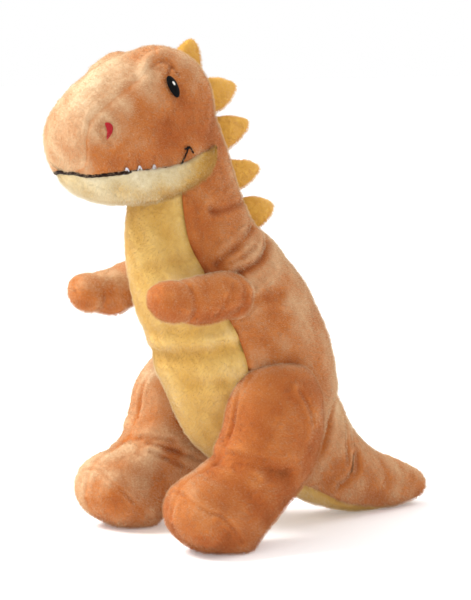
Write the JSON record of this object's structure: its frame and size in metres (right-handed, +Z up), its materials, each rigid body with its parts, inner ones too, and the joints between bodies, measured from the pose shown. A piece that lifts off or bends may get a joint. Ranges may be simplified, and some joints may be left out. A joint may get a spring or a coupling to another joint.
{
  "type": "stuffed dinosaur",
  "caption": "Soft standing dinosaur plush: sewn short-pile panels over fibre filling, with a turning head, swinging limbs and a wagging tail.",
  "frame": {"origin": "middle of the toy's footprint box, on the surface that it stands on", "axes": "+Z up, the dinosaur faces -Y and its tail points to +Y, +X is its left side"},
  "size_m": [0.1164, 0.2314, 0.2446],
  "materials": {
    "plush_orange": "short-pile orange plush",
    "plush_yellow": "short-pile pale golden yellow plush",
    "fibre_filling": "loose white polyester fibre",
    "pellet_pouch": "white cloth pouch of pellets",
    "thread_black": "black satin-stitch thread",
    "thread_white": "white satin-stitch thread",
    "thread_red": "red satin-stitch thread"
  },
  "bodies": {
    "torso": {"torso_filling": "fibre_filling", "torso_side_left": "plush_orange", "torso_side_right": "plush_orange", "belly_gusset": "plush_yellow"},
    "neck": {"neck_filling": "fibre_filling", "neck_side_left": "plush_orange", "neck_side_right": "plush_orange", "throat_gusset": "plush_yellow", "spine_5": "plush_yellow"},
    "head": {"head_filling": "fibre_filling", "head_side_left": "plush_orange", "head_side_right": "plush_orange", "head_gusset": "plush_orange", "lower_jaw": "plush_yellow", "brow_left": "plush_orange", "brow_right": "plush_orange", "eye_left": "thread_black", "eye_right": "thread_black", "eye_glint_left": "thread_white", "eye_glint_right": "thread_white", "nostril_left": "thread_red", "nostril_right": "thread_red", "mouth_line": "thread_black", "smile_left": "thread_black", "smile_right": "thread_black", "teeth_left": "thread_white", "teeth_right": "thread_white", "spine_1": "plush_yellow", "spine_2": "plush_yellow", "spine_3": "plush_yellow", "spine_4": "plush_yellow"},
    "tail": {"tail_filling": "fibre_filling", "tail_side_left": "plush_orange", "tail_side_right": "plush_orange", "tail_underside": "plush_yellow"},
    "arm_left": {"arm_filling_left": "fibre_filling", "arm_upper_left": "plush_orange", "arm_lower_left": "plush_orange"},
    "arm_right": {"arm_filling_right": "fibre_filling", "arm_upper_right": "plush_orange", "arm_lower_right": "plush_orange"},
    "leg_left": {"leg_filling_left": "fibre_filling", "leg_outer_left": "plush_orange", "leg_inner_left": "plush_orange", "sole_left": "plush_orange", "foot_pellets_left": "pellet_pouch"},
    "leg_right": {"leg_filling_right": "fibre_filling", "leg_outer_right": "plush_orange", "leg_inner_right": "plush_orange", "sole_right": "plush_orange", "foot_pellets_right": "pellet_pouch"}
  },
  "joints": [
    {"name": "neck_nod", "type": "hinge", "parent": "torso", "child": "neck", "pos_m": [0, -0.03375, 0.1462], "axis": [1, 0, 0], "range_deg": [-9, 10], "stiffness_Nm_per_rad": 1.2},
    {"name": "head_turn", "type": "hinge", "parent": "neck", "child": "head", "pos_m": [0, -0.03875, 0.1646], "axis": [0, 0, 1], "range_deg": [-25, 25], "stiffness_Nm_per_rad": 0.5},
    {"name": "left_arm_swing", "type": "hinge", "parent": "torso", "child": "arm_left", "pos_m": [0.0415, -0.04375, 0.1233], "axis": [1, 0, 0], "range_deg": [-35, 30], "stiffness_Nm_per_rad": 0.15},
    {"name": "right_arm_swing", "type": "hinge", "parent": "torso", "child": "arm_right", "pos_m": [-0.0415, -0.04375, 0.1233], "axis": [1, 0, 0], "range_deg": [-35, 30], "stiffness_Nm_per_rad": 0.15},
    {"name": "left_leg_swing", "type": "hinge", "parent": "torso", "child": "leg_left", "pos_m": [0.0394, -0.00875, 0.058], "axis": [1, 0, 0], "range_deg": [-25, 4], "stiffness_Nm_per_rad": 2.5},
    {"name": "right_leg_swing", "type": "hinge", "parent": "torso", "child": "leg_right", "pos_m": [-0.0394, -0.00875, 0.058], "axis": [1, 0, 0], "range_deg": [-25, 4], "stiffness_Nm_per_rad": 2.5},
    {"name": "tail_wag", "type": "hinge", "parent": "torso", "child": "tail", "pos_m": [0, 0.06225, 0.03], "axis": [0, 0, 1], "range_deg": [-18, 18], "stiffness_Nm_per_rad": 1}
  ]
}
